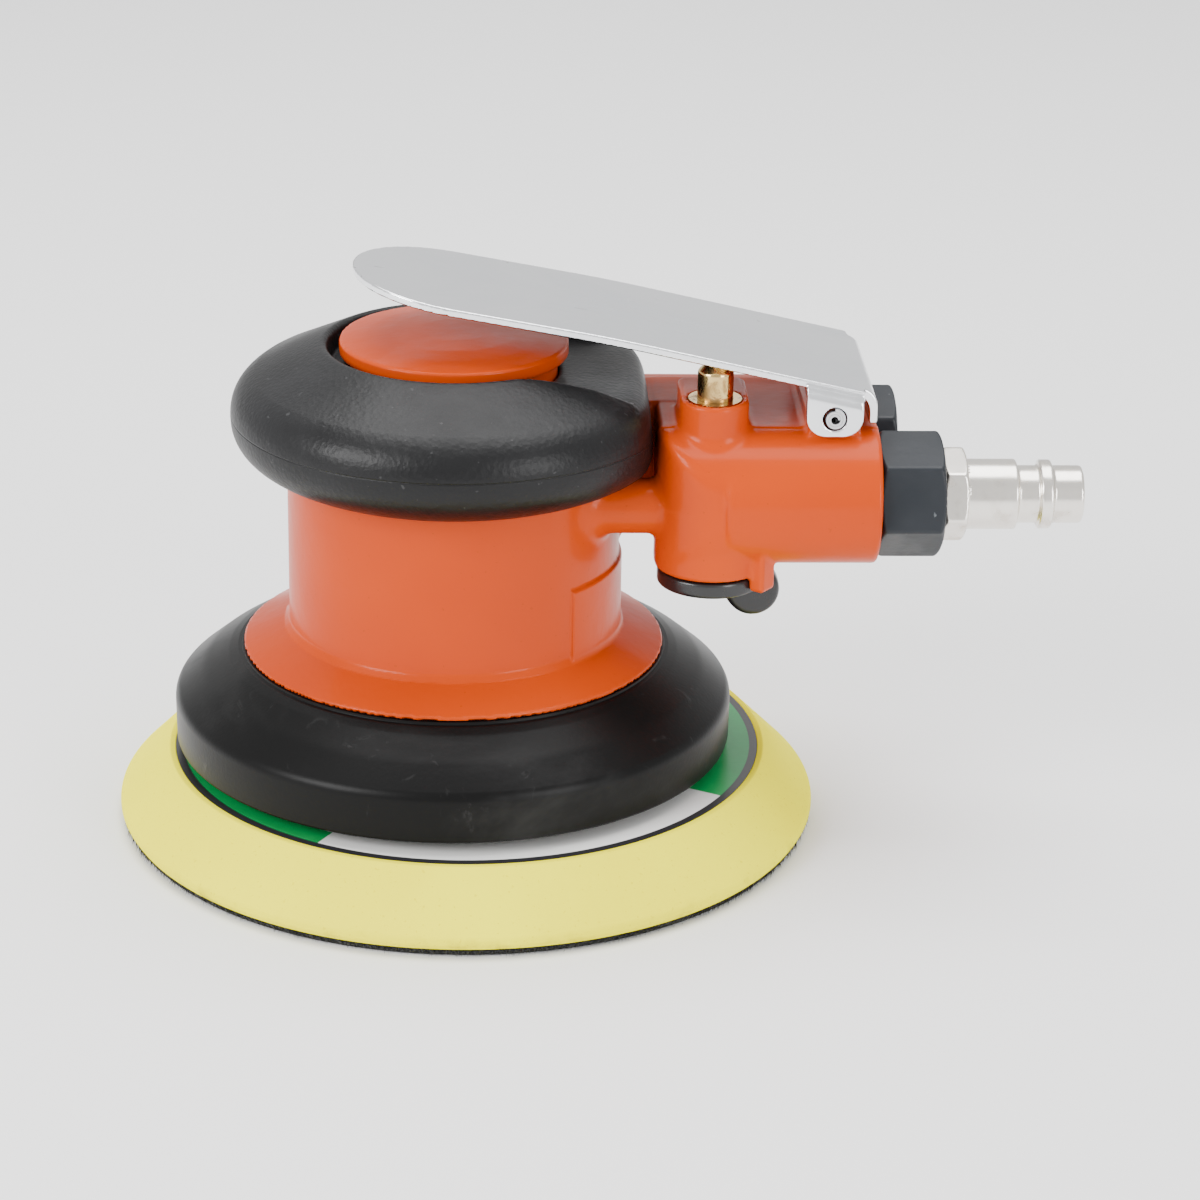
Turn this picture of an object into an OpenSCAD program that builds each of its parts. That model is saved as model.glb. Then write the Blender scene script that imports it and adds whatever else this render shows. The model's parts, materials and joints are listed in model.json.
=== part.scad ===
// Palm-grip air sander with a random orbital pad, rear air inlet and side-by-side exhaust.
// Millimetres, +Z up. The motor turns about the Z axis, the pad's face is at Z = 0 and the
// air inlet points along +X.

/* [Pad] */
// Radius of the pad's foam at its widest
pad_r = 62.5; // [60:0.5:66]
// Radius of the pad's top face
pad_top_r = 53; // [52:0.5:56]
// Height of the pad's top face
pad_h = 12.8; // [12:0.1:13]
// Thickness of the hook layer under the foam
hook_t = 1.6; // [1:0.1:2]
// Distance from the motor's axis to the pad's axis, half of the orbit
orbit_r = 2.5; // [1.5:0.5:2.5]

/* [Shroud] */
// Outer radius of the rubber shroud
shroud_r = 49.7; // [49:0.1:51]
// Height of the shroud's lower edge
shroud_z = 15; // [14.5:0.1:15.5]

/* [Motor housing] */
// Radius of the housing's barrel
barrel_r = 29.2; // [29:0.1:29.4]
// Radius of the bore that holds the air motor
bore_r = 26; // [25.8:0.1:26.2]
// Radius of the flange above the shroud
flange_r = 37.3; // [36.5:0.1:38]
// Radius of the round cap on top of the housing
cap_r = 19.9; // [19:0.1:20.4]
// Height of the cap's rim
cap_z = 88.4; // [88:0.1:89]

/* [Grip] */
// Outer radius of the rubber grip
grip_r = 38.9; // [38:0.1:40]
// Height of the rim round the cap's hole in the grip
grip_top = 88.1; // [87:0.1:88.6]
// Distance from the motor's axis to the flat that faces the valve block
grip_flat_x = 34.9; // [34:0.1:35]

/* [Valve block] */
// Radius of the inlet and exhaust barrels
block_r = 12; // [11.8:0.1:12.2]
// Height of the inlet and exhaust axes
block_z = 64.8; // [64.5:0.1:65]
// Sideways distance of the inlet and exhaust axes from the middle plane
block_y = 13.5; // [13.3:0.1:13.7]
// Distance of the block's threaded end face from the motor's axis
block_end = 73; // [72.5:0.5:74]
// Distance of the valve stem from the motor's axis
valve_x = 44.6; // [44:0.1:45]

/* [Lever] */
// Width of the lever's plate
lever_w = 34.6; // [34:0.2:35]
// Thickness of the lever's sheet
lever_t = 1.4; // [1.2:0.1:1.5]
// Distance of the lever's round tip from the motor's axis, on the side away from the inlet
lever_tip = 17.4; // [16:0.2:18]
// Distance of the lever's pin from the motor's axis
pin_x = 64.8; // [64.6:0.1:65]
// Height of the lever's pin
pin_z = 80; // [80:0.1:80.2]

/* [Hidden] */
$fn = 96;
eps = 0.01;
run = 0.06;                    // radial clearance of a running fit
valve_y = -block_y;            // the valve stands on the inlet's axis

// Heights of the stack inside the housing, from the pad up
spacer_t = 0.8;
spindle_z = pad_h - 0.2 + spacer_t;
pair_z = 17;                   // lower face of the pair of spindle bearings
web_z = 36;                    // underside of the balancer's web
motor_z = 39;                  // underside of the lower endplate
liner_z = 46;
liner_h = 23.5;
top_z = liner_z + liner_h;     // underside of the upper endplate
roof_z = 78.2;                 // top of the motor bore
shoulder_z = 81.5;             // top of the barrel, under the grip
lower_z = 26.5;                // lower end of the housing
flange_z = 32.2;               // underside of the flange above the shroud

// Bearings: bore, outside diameter, width, number of balls
upper_brg = [8, 22, 7, 7];
lower_brg = [12, 24, 6, 8];
pair_brg = [12, 28, 8, 8];
upper_brg_z = top_z + 0.5;
journal_r = lower_brg[0] / 2;
tail_r = upper_brg[0] / 2;

// Air motor
liner_off = 1.8;               // the liner's bore lies off the rotor's axis
liner_bore_r = 21.5;
rotor_r = 19.6;
vane_n = 5;
vane_t = 2;
vane_depth = 9;
key_w = 3;
key_angle = 36;

// Valve
seat_z = 58.2;
boss_top = 82.2;
boss_r = 9.8;
reg_bore = 8;
stem_r = 3.1;
cup_floor = 49.8;
reg_head_top = 51.5;
tip_gap = 0.08;                // air gap between the stem's tip and the lever
neck_z = 62.5;

// Lever: a plate with a slight bend, seen from the side
rear_slope = 12.5;
front_slope = 10.2;
bend_x = 27;
under_pin = 4.07;              // from the pin's axis up to the plate's underside
ear_w = 9.8;
ear_out = 18.5;
lever_end = 72.4;              // outer face of the lever's folded end
bushing_end = block_end + 11.1; // end of the inlet bushing's hexagon
function plate_z(x) = pin_z + under_pin / cos(rear_slope) + (pin_x - x) * tan(rear_slope);
bend_z = plate_z(bend_x);
stem_tip_z = plate_z(valve_x) - (stem_r + tip_gap) / cos(rear_slope) + stem_r;

// Colours
orange = [0.93, 0.32, 0.06];
rubber = [0.06, 0.06, 0.06];
steel = [0.72, 0.73, 0.75];
dark_steel = [0.12, 0.12, 0.13];
brass = [0.78, 0.60, 0.30];
nickel = [0.80, 0.78, 0.72];
seal = [0.10, 0.10, 0.10];

// ---- Shared shapes ----

// A cylinder along +X from x0 to x1
module along_x(x0, x1, y, z, r) {
    translate([x0, y, z]) rotate([0, 90, 0]) cylinder(h = x1 - x0, r = r);
}

// A cylinder along Y, centred on Y = 0
module along_y(length, x, z, r) {
    translate([x, length / 2, z]) rotate([90, 0, 0]) cylinder(h = length, r = r);
}

// A hexagonal bar along +X, with its corners turned off the vertical
module hex_x(x0, x1, y, z, across_flats, turn = 13) {
    translate([x0, y, z]) rotate([turn, 0, 0]) rotate([0, 90, 0])
        cylinder(h = x1 - x0, d = across_flats / cos(30), $fn = 6);
}

// A flat ring about Z
module ring(r_in, r_out, z0, z1) {
    difference() {
        translate([0, 0, z0]) cylinder(h = z1 - z0, r = r_out);
        translate([0, 0, z0 - 1]) cylinder(h = z1 - z0 + 2, r = r_in);
    }
}

// A ring with a gap, as a snap ring has
module split_ring(r_in, r_out, z0, z1, gap) {
    difference() {
        ring(r_in, r_out, z0, z1);
        translate([0, -gap / 2, z0 - 1]) cube([r_out + 1, gap, z1 - z0 + 2]);
    }
}

// A round seal about Z
module oring(r_mid, r_cord, z) {
    translate([0, 0, z]) rotate_extrude() translate([r_mid, 0]) circle(r = r_cord, $fn = 32);
}

// Bearing measures: pitch radius, ball radius and the half height of the lands
function pitch_r(b) = (b[0] + b[1]) / 4;
function ball_r(b) = 0.29 * (b[1] - b[0]) / 2;
function land(b) = 0.6 * ball_r(b);
race_gap = 0.05;

module race_ring(b, r_in, r_out) {
    rotate_extrude() difference() {
        translate([r_in, 0]) square([r_out - r_in, b[2]]);
        translate([pitch_r(b), b[2] / 2]) circle(r = ball_r(b) + race_gap, $fn = 48);
    }
}

// Outer ring with its two shields
module bearing_outer(b) {
    shield_t = 0.4;
    land_r = pitch_r(b) + land(b);
    race_ring(b, land_r, b[1] / 2);
    for (z = [0.3, b[2] - 0.3 - shield_t])
        ring(pitch_r(b) - land(b) + 0.2, land_r + eps, z, z + shield_t);
}

module bearing_inner(b) {
    race_ring(b, b[0] / 2, pitch_r(b) - land(b));
}

// Balls in a ring-shaped cage
module ball_set(b) {
    cage_h = 1.5 * ball_r(b);
    translate([0, 0, b[2] / 2]) {
        for (i = [0 : b[3] - 1])
            rotate([0, 0, i * 360 / b[3]]) translate([pitch_r(b), 0, 0]) sphere(r = ball_r(b), $fn = 48);
        difference() {
            ring(pitch_r(b) - 0.5, pitch_r(b) + 0.5, -cage_h / 2, cage_h / 2);
            for (i = [0 : b[3] - 1])
                rotate([0, 0, i * 360 / b[3]]) translate([pitch_r(b), 0, 0])
                    sphere(r = ball_r(b) + race_gap, $fn = 48);
        }
    }
}

// ---- Housing and what is fixed to it ----

// Barrel, flange and cap, as one turned shape with the motor bore
module housing_barrel() {
    dome_r = 122;
    thread_r = bore_r + 1.5;
    rotate_extrude() difference() {
        union() {
            polygon([[0, lower_z], [34.8, lower_z], [34.8, 28], [33.2, 28], [33.2, flange_z],
                     [flange_r, flange_z], [flange_r, flange_z + 0.7], [barrel_r + 0.9, 36.2],
                     [barrel_r, 37.4], [barrel_r, shoulder_z], [0, shoulder_z]]);
            translate([0, shoulder_z - 1]) square([cap_r - 1.9, cap_z - shoulder_z]);
            intersection() {
                translate([0, cap_z - 2.6]) square([cap_r, 6]);
                translate([0, cap_z + 1.6 - dome_r]) circle(r = dome_r, $fn = 360);
            }
        }
        translate([-1, lower_z - 1]) square([thread_r + 1, motor_z - lower_z + 1]);
        translate([-1, motor_z - 1]) square([bore_r + 1, roof_z - motor_z + 1]);
    }
}

// Inlet and exhaust barrels joined by a flat-topped block
module valve_block() {
    left_x = grip_flat_x + 0.3;
    nose_r = 10.9;
    intersection() {
        along_x(left_x, block_end, valve_y, block_z, block_r);
        union() {
            translate([left_x + nose_r, valve_y, block_z - 20]) cylinder(h = 40, r = nose_r);
            translate([left_x + nose_r, valve_y - 20, block_z - 20]) cube([60, 40, 40]);
        }
    }
    translate([left_x, valve_y, block_z - block_r])
        cube([block_end - left_x, 2 * block_y, 2 * block_r]);
    // exhaust duct, back to the barrel
    along_x(20, block_end, block_y, block_z, block_r);
    translate([20, 0, block_z - block_r]) cube([20, block_y, 2 * block_r]);
    // inlet neck
    along_x(22, left_x + 6, valve_y, neck_z, 4.8);
}

// Round boss under the stem and the boss that carries the stem's guide
module valve_bosses() {
    translate([valve_x, valve_y, 51.8]) cylinder(h = 12, r = boss_r);
    translate([valve_x, valve_y, block_z]) cylinder(h = boss_top - block_z, r = 5.85);
    translate([valve_x - 5.85, valve_y, block_z]) cube([11.7, 11.5, boss_top - block_z]);
    // stop for the regulator's paddle
    translate([valve_x, valve_y, 0]) rotate([0, 0, -37])
        translate([9.5, -2, 49.4]) cube([2.6, 4, 8]);
}

// Ridge between the lever's ears, which holds the pin
module pin_ridge() {
    along_y(33.6, pin_x, pin_z, 3.6);
    translate([pin_x - 4.25, -16.8, 68]) cube([8.5, 33.6, 11]);
}

module valve_bores() {
    translate([valve_x, valve_y, 0]) {
        translate([0, 0, 40]) cylinder(h = seat_z - 40, r = reg_bore);
        translate([0, 0, seat_z - eps]) cylinder(h = 2.6 + 2 * eps, r = 7);
        translate([0, 0, 60]) cylinder(h = 13, r = 5.5);
        translate([0, 0, 72]) cylinder(h = 12, r = 4.6);
        translate([0, 0, 55]) cylinder(h = 0.9, r = 8.6);
    }
    // inlet, with the passage down to the regulator
    along_x(57, block_end + 1, valve_y, block_z, 8);
    along_x(block_end - 1.6, block_end + 1, valve_y, block_z, 9.7);
    translate([58.5, valve_y, 61]) rotate([0, -123, 0]) cylinder(h = 10.5, r = 2);
    // from the valve to the motor
    along_x(18, valve_x, valve_y, neck_z, 2.8);
    // exhaust
    along_x(18, 62, block_y, block_z, 9);
    along_x(61, block_end + 1, block_y, block_z, 8);
}

module motor_housing() {
    panel_angle = 46;
    color(orange) difference() {
        union() {
            housing_barrel();
            difference() {
                union() {
                    valve_block();
                    valve_bosses();
                    pin_ridge();
                    // low pad around the barrel's inlet side
                    rotate([0, 0, -panel_angle]) rotate_extrude(angle = 2 * panel_angle)
                        translate([bore_r + 2, 34.5]) square([barrel_r + 0.6 - bore_r - 2, 15]);
                }
                cylinder(h = 100, r = bore_r + 1);
            }
        }
        valve_bores();
        along_y(60, pin_x, pin_z, 2);
    }
}

// Right half of the grip's section: a full round below, a cone up to the cap's hole above
function grip_skin(rc, zc, rz, n) = [for (t = [-64 : 4 : 44])
    [rc + (grip_r - rc) * pow(cos(t), 2 / n), zc + rz * sign(t) * pow(abs(sin(t)), 2 / n)]];

// Rubber grip: a flattened ring round the barrel, open above the cap and towards the inlet
module grip() {
    hole_r = 21.4;
    floor_z = 84;
    lean_z = 72;               // above this the end at the valve block leans back
    lean = 9;
    lip = [[hole_r + 1.4, grip_top - 0.2], [hole_r + 0.7, grip_top], [hole_r, grip_top - 0.7],
           [hole_r, floor_z], [cap_r - 1.8, floor_z], [cap_r - 1.8, shoulder_z + 0.05],
           [barrel_r + 0.05, shoulder_z + 0.05], [barrel_r + 0.05, 65.6]];
    color(rubber) difference() {
        rotate_extrude() polygon(concat(grip_skin(22, 75, 10, 2.3), lip));
        // way out for the lever: it narrows, and its floor falls towards the inlet
        translate([0, 0, floor_z]) rotate([0, 3, 0]) linear_extrude(20)
            polygon([[0, -hole_r], [5, -20.8], [24, -16.3], [60, -15.5],
                     [60, 15.5], [24, 16.3], [5, 20.8], [0, hole_r]]);
        translate([grip_flat_x, -50, 0]) cube([50, 100, 100]);
        translate([grip_flat_x, -50, lean_z]) rotate([0, -lean, 0]) cube([50, 100, 40]);
        // clearance for the block, the exhaust duct and the inlet neck
        along_x(10, 60, block_y, block_z, block_r + 0.3);
        translate([10, -0.3, 40]) cube([50, block_y + 0.3, block_z + block_r + 0.3 - 40]);
        translate([10, block_y - 1, 40]) cube([50, block_r + 1.3, block_z - 40]);
        along_x(10, 60, valve_y, neck_z, 5.1);
        translate([10, valve_y - 5.1, 50]) cube([50, 10.2, neck_z - 50]);
    }
}

module shroud() {
    lip_z = flange_z - 0.06;
    outside = [[shroud_r - 0.6, shroud_z], [shroud_r - 0.1, shroud_z + 0.8], [shroud_r, 22.6],
               [shroud_r - 0.5, 23.9], [shroud_r - 1.7, 25], [44.4, 28], [40, 30.8], [38.4, 31.5]];
    inside = [[37.7, 31.7], [37.6, lip_z], [33.25, lip_z], [33.25, 28.05], [40, 28.05],
              [44.4, 25.3], [46.6, 22.6], [46.9, shroud_z]];
    color(rubber) rotate_extrude() polygon(concat(outside, inside));
}

module lock_ring() {
    color(steel) difference() {
        ring(20.5, bore_r + 1.5, 31, motor_z);
        for (i = [0 : 3])
            rotate([0, 0, 45 + i * 90]) translate([23, 0, 30]) cylinder(h = 3, r = 1.5);
    }
}

module lower_endplate() {
    color(steel) difference() {
        ring(journal_r + 1, bore_r, motor_z, liner_z);
        translate([0, 0, motor_z - 1]) cylinder(h = lower_brg[2] + 1, r = lower_brg[1] / 2);
        ring(bore_r - 1.6, bore_r + 1, motor_z + 2, motor_z + 3.6);
        pin_hole();
    }
}

module endplate_oring() {
    color(seal) oring(bore_r - 0.8, 0.8, motor_z + 2.8);
}

// Blind holes that line up the liner with both endplates
module pin_hole() {
    translate([22.8, 0, liner_z - 3]) cylinder(h = liner_h + 6, r = 1.25);
}

module cylinder_liner() {
    color(steel) difference() {
        translate([0, 0, liner_z]) cylinder(h = liner_h, r = bore_r);
        translate([-liner_off, 0, liner_z - 1]) cylinder(h = liner_h + 2, r = liner_bore_r);
        along_x(8, 40, valve_y, neck_z, 2.8);
        for (z = [liner_z + 7, liner_z + 16])
            along_x(8, 40, block_y, z, 3.2);
        pin_hole();
    }
}

module cylinder_pin() {
    color(steel) pin_hole();
}

module upper_endplate() {
    color(steel) difference() {
        ring(tail_r + 1, bore_r, top_z, top_z + 7.5);
        translate([0, 0, upper_brg_z]) cylinder(h = 10, r = upper_brg[1] / 2);
        pin_hole();
    }
}

module wave_washer() {
    color(steel) ring(21.5, 25.4, top_z + 7.5, roof_z);
}

module upper_bearing_outer_ring() {
    color(steel) translate([0, 0, upper_brg_z]) bearing_outer(upper_brg);
}

module lower_bearing_outer_ring() {
    color(steel) translate([0, 0, motor_z]) bearing_outer(lower_brg);
}

// ---- Air fittings ----

module inlet_bushing() {
    color(dark_steel) difference() {
        union() {
            hex_x(block_end, bushing_end, valve_y, block_z, 19.2);
            along_x(block_end - 13, block_end + 1, valve_y, block_z, 8);
        }
        along_x(block_end - 14, block_end, valve_y, block_z, 5);
        along_x(block_end - 0.2, block_end + 12, valve_y, block_z, 6.6);
    }
}

module inlet_oring() {
    color(seal) translate([block_end - 0.8, valve_y, block_z]) rotate([0, 90, 0]) oring(8.8, 0.8, 0);
}

module inlet_screen() {
    color(steel) difference() {
        along_x(block_end - 0.2, block_end + 0.4, valve_y, block_z, 6.6);
        translate([block_end - 1, valve_y, block_z]) rotate([0, 90, 0]) {
            cylinder(h = 3, r = 0.9);
            for (i = [0 : 5]) rotate([0, 0, i * 60]) translate([2.4, 0, 0]) cylinder(h = 3, r = 0.9);
            for (i = [0 : 11]) rotate([0, 0, i * 30]) translate([4.8, 0, 0]) cylinder(h = 3, r = 0.9);
        }
    }
}

module quick_plug() {
    x0 = bushing_end;
    color(nickel) difference() {
        union() {
            along_x(block_end + 0.4, x0, valve_y, block_z, 6.6);
            hex_x(x0, x0 + 4.2, valve_y, block_z, 14.3);
            translate([x0, valve_y, block_z]) rotate([0, 90, 0]) rotate_extrude()
                polygon([[0, 0], [6.1, 0], [6.1, 12.7], [5.7, 13.1], [5, 13.1], [5, 16.6],
                         [6, 17], [6, 18.8], [5.6, 19.2], [5, 19.2], [5, 23.9], [4.4, 24.5], [0, 24.5]]);
        }
        along_x(block_end, x0 + 30, valve_y, block_z, 3.6);
    }
}

module exhaust_muffler() {
    color(dark_steel) difference() {
        union() {
            hex_x(block_end, block_end + 5.8, block_y, block_z, 18);
            along_x(block_end - 11, block_end + 1, block_y, block_z, 8);
        }
        along_x(block_end - 12, block_end + 8, block_y, block_z, 6);
    }
}

module muffler_insert() {
    color(brass) difference() {
        along_x(block_end - 10, block_end + 4.6, block_y, block_z, 6);
        along_x(block_end - 11, block_end + 2, block_y, block_z, 3);
    }
}

// ---- Valve ----

module lever_pin() {
    color(steel) difference() {
        along_y(37.4, pin_x, pin_z, 2);
        along_y(40, pin_x, pin_z, 0.7);
    }
}

module valve_guide() {
    color(brass) translate([valve_x, valve_y, 0]) difference() {
        ring(stem_r + run, 4.6, 73, boss_top);
        ring(stem_r, 4, 77, 78);
    }
}

module stem_oring() {
    color(seal) translate([valve_x, valve_y, 0]) oring(3.57, 0.41, 77.5);
}

module valve_seat() {
    color(brass) translate([valve_x, valve_y, 0]) ring(3.4, 7, seat_z, seat_z + 2.6);
}

module valve_stem() {
    poppet_r = 4.4;
    color(brass) translate([valve_x, valve_y, 0]) {
        translate([0, 0, seat_z - 3]) cylinder(h = 2.2, r = poppet_r);
        translate([0, 0, seat_z - 1]) cylinder(h = 9, r = 2);
        translate([0, 0, 66]) cylinder(h = stem_tip_z - stem_r - 66, r = stem_r);
        translate([0, 0, stem_tip_z - stem_r]) sphere(r = stem_r);
    }
}

module valve_disc() {
    color(seal) translate([valve_x, valve_y, 0]) ring(2, 4.6, seat_z - 0.8, seat_z - 0.06);
}

// Compression spring: a round wire swept along a helix
module valve_spring() {
    turns = 4;
    steps = 16;
    sides = 8;
    wire_r = 0.35;
    coil_r = 3.6;
    z0 = cup_floor + wire_r;
    rise = seat_z - 3 - cup_floor - 2 * wire_r;
    n = turns * steps;
    points = [for (i = [0 : n]) for (k = [0 : sides - 1])
        let (a = i * 360 / steps, b = k * 360 / sides, r = coil_r + wire_r * cos(b))
        [r * cos(a), r * sin(a), z0 + rise * i / n + wire_r * sin(b)]];
    skin = [for (i = [0 : n - 1]) for (k = [0 : sides - 1])
        let (k2 = (k + 1) % sides)
        [i * sides + k, (i + 1) * sides + k, (i + 1) * sides + k2, i * sides + k2]];
    first = [for (k = [0 : sides - 1]) k];
    last = [for (k = [sides - 1 : -1 : 0]) n * sides + k];
    color(steel) translate([valve_x, valve_y, 0]) polyhedron(points, concat(skin, [first, last]));
}

// Rotary sleeve that throttles the inlet, with a finger paddle below the block
module regulator() {
    paddle_x = 7.4;
    color(dark_steel) translate([valve_x, valve_y, 0]) difference() {
        union() {
            translate([0, 0, 48.6]) cylinder(h = 9.3, r = reg_bore - run);
            translate([0, 0, 48.6]) cylinder(h = reg_head_top - 48.6, r = 9.3);
            translate([paddle_x, 2.5, 47.5]) rotate([90, 0, 0]) cylinder(h = 5, r = 4.7);
            translate([0, -2.5, 47]) cube([paddle_x, 5, 4]);
        }
        translate([0, 0, cup_floor]) cylinder(h = 20, r = 5.6);
        ring(7.1, 12, 55.05, 55.85);
        ring(6.9, 8.5, 52.3, 53.9);
        // clearance under the boss
        ring(reg_bore - run, 10.1, reg_head_top, 54);
        // window that meets the inlet passage
        translate([0, -3, 56]) cube([12, 6, 5]);
    }
}

module regulator_oring() {
    color(seal) translate([valve_x, valve_y, 0]) oring(7.42, 0.51, 53.1);
}

module regulator_snap_ring() {
    color(steel) translate([valve_x, valve_y, 0]) split_ring(7.1, 8.5, 55.1, 55.8, 3);
}

// ---- Lever ----

// Side view of the plate: two flats that meet at the bend
module plate_profile(width) {
    rise_t = lever_t / cos(rear_slope);
    tip_z = bend_z + (bend_x + lever_tip) * tan(front_slope);
    rotate([90, 0, 0]) linear_extrude(width, center = true)
        polygon([[-lever_tip, tip_z], [bend_x, bend_z], [lever_end, plate_z(lever_end)],
                 [lever_end, plate_z(lever_end) + rise_t], [bend_x, bend_z + rise_t],
                 [-lever_tip, tip_z + rise_t]]);
}

// Bent plate with a round tip, folded ears with the pin's holes, and a folded end
module throttle_lever() {
    half = lever_w / 2;
    color(steel) difference() {
        union() {
            intersection() {
                plate_profile(lever_w);
                linear_extrude(120) {
                    translate([half - lever_tip, 0]) circle(r = half);
                    translate([half - lever_tip, -half]) square([100, lever_w]);
                }
            }
            intersection() {
                plate_profile(2 * ear_out);
                translate([pin_x - ear_w / 2, -ear_out, 0]) cube([ear_w, 2 * ear_out, 120]);
            }
            for (s = [-1, 1]) translate([pin_x, s * (ear_out - lever_t / 2), pin_z]) ear();
            translate([lever_end - lever_t, -15, pin_z - 1.9]) cube([lever_t, 30, 5]);
        }
        along_y(60, pin_x, pin_z, 2 + run);
    }
}

module ear() {
    corner = 3;
    drop = 3.25;
    half = ear_w / 2;
    top = under_pin / cos(rear_slope) + lever_t / 2;
    rise = half * tan(rear_slope);
    rotate([90, 0, 0]) linear_extrude(lever_t, center = true) {
        polygon([[-half, corner - drop], [half, corner - drop], [half, top - rise], [-half, top + rise]]);
        translate([corner - half, -drop]) square([ear_w - 2 * corner, corner + 1]);
        for (s = [-1, 1]) translate([s * (half - corner), corner - drop]) circle(r = corner);
    }
}

// ---- Rotor and balancer ----

module rotor() {
    color(steel) difference() {
        ring(journal_r, rotor_r, liner_z + 0.1, top_z - 0.1);
        for (i = [0 : vane_n - 1]) rotate([0, 0, i * 360 / vane_n])
            translate([rotor_r - vane_depth - 0.5, -vane_t / 2 - 0.1, 0]) cube([20, vane_t + 0.2, 100]);
        key_shape();
    }
}

module rotor_vanes() {
    color([0.35, 0.25, 0.15]) for (i = [0 : vane_n - 1]) rotate([0, 0, i * 360 / vane_n])
        translate([rotor_r - vane_depth - 0.1, -vane_t / 2, liner_z + 0.2])
            cube([vane_depth, vane_t, liner_h - 0.4]);
}

module key_shape() {
    rotate([0, 0, key_angle]) translate([journal_r - key_w / 2, -key_w / 2, liner_z + 5])
        cube([key_w, key_w, 14]);
}

module rotor_key() {
    color(steel) key_shape();
}

// Motor shaft, offset cup for the spindle bearings, and the counterweight opposite the offset
module shaft_balancer() {
    cup_r = 17;
    sector = 70;
    weight_r = 27;
    color(steel) difference() {
        union() {
            translate([0, 0, web_z]) cylinder(h = liner_z - 1 - web_z, r = journal_r);
            translate([0, 0, liner_z - 1 - eps]) cylinder(h = top_z - liner_z + 1, r = journal_r);
            translate([0, 0, top_z - 0.1]) cylinder(h = 7.3, r = tail_r);
            translate([orbit_r, 0, pair_z - 2]) cylinder(h = web_z + 2.6 - pair_z + 2, r = cup_r);
            rotate([0, 0, 180 - sector]) rotate_extrude(angle = 2 * sector)
                translate([cup_r - 5, pair_z + 0.5]) square([weight_r - cup_r + 5, 8.5]);
        }
        translate([orbit_r, 0, pair_z - 3]) cylinder(h = 2 * pair_brg[2] + 3, r = pair_brg[1] / 2);
        translate([orbit_r, 0, pair_z]) cylinder(h = web_z - pair_z, r = 9.5);
        translate([orbit_r, 0, pair_z - 1.2]) cylinder(h = 1.2, r = pair_brg[1] / 2 + 0.8);
        key_shape();
    }
}

module upper_bearing_inner_ring() {
    color(steel) translate([0, 0, upper_brg_z]) bearing_inner(upper_brg);
}

module lower_bearing_inner_ring() {
    color(steel) translate([0, 0, motor_z]) bearing_inner(lower_brg);
}

module for_each_spindle_bearing() {
    for (i = [0, 1]) translate([orbit_r, 0, pair_z + i * pair_brg[2]]) children();
}

module spindle_bearing_outer_rings() {
    color(steel) for_each_spindle_bearing() bearing_outer(pair_brg);
}

module bearing_snap_ring() {
    color(steel) translate([orbit_r, 0, 0])
        split_ring(pair_brg[1] / 2 - 1.8, pair_brg[1] / 2 + 0.8, pair_z - 1.2, pair_z, 5);
}

module upper_ball_set() {
    color(steel) translate([0, 0, upper_brg_z]) ball_set(upper_brg);
}

module lower_ball_set() {
    color(steel) translate([0, 0, motor_z]) ball_set(lower_brg);
}

module spindle_ball_sets() {
    color(steel) for_each_spindle_bearing() ball_set(pair_brg);
}

// ---- Spindle and pad ----

stud_r = 3.95;
groove_z = pair_z + 2 * pair_brg[2];

module spindle() {
    color(steel) translate([orbit_r, 0, 0]) difference() {
        union() {
            translate([0, 0, spindle_z]) cylinder(h = 2.4, d = 19 / cos(30), $fn = 6);
            translate([0, 0, spindle_z + 2.3]) cylinder(h = pair_z - spindle_z - 2.3, r = 7.6);
            translate([0, 0, pair_z - eps]) cylinder(h = 18.4, r = pair_brg[0] / 2);
        }
        translate([0, 0, spindle_z - 1]) cylinder(h = 14, r = stud_r);
        ring(5.4, 8, groove_z, groove_z + 1);
    }
}

module spindle_bearing_inner_rings() {
    color(steel) for_each_spindle_bearing() bearing_inner(pair_brg);
}

module spindle_circlip() {
    color(steel) translate([orbit_r, 0, 0]) split_ring(5.4, 7.6, groove_z, groove_z + 1, 4);
}

module pad_spacer() {
    color(seal) translate([orbit_r, 0, 0]) ring(stud_r, 12, pad_h - 0.2, spindle_z);
}

// Threaded stud with a flange bonded under the backing plate
plate_z0 = pad_h - 3;

module pad_stud() {
    color(steel) translate([orbit_r, 0, 0]) {
        translate([0, 0, plate_z0 - 1.2]) cylinder(h = 1.2, r = 14);
        translate([0, 0, plate_z0 - eps]) cylinder(h = 15.2, r = stud_r);
    }
}

module backing_plate() {
    color([0.25, 0.25, 0.26]) translate([orbit_r, 0, 0])
        ring(stud_r, pad_top_r - 0.6, plate_z0, pad_h - 0.2);
}

module pad_foam() {
    belly_z = 3;
    color([0.95, 0.88, 0.12]) translate([orbit_r, 0, 0]) difference() {
        rotate_extrude() polygon([[0, hook_t], [pad_r - 0.6, hook_t], [pad_r, belly_z - 0.6],
                                  [pad_r, belly_z + 0.4], [pad_top_r + 0.4, pad_h - 0.3],
                                  [pad_top_r, pad_h], [0, pad_h]]);
        translate([0, 0, plate_z0]) cylinder(h = 5, r = pad_top_r - 0.6);
        translate([0, 0, plate_z0 - 1.2]) cylinder(h = 2, r = 14);
    }
}

module pad_label() {
    color([0.1, 0.55, 0.25]) translate([orbit_r, 0, 0]) ring(14, pad_top_r - 0.6, pad_h - 0.2, pad_h);
}

module hook_layer() {
    color([0.05, 0.05, 0.05]) translate([orbit_r, 0, 0]) cylinder(h = hook_t, r = pad_r - 0.6);
}

// ---- Nodes ----

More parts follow.
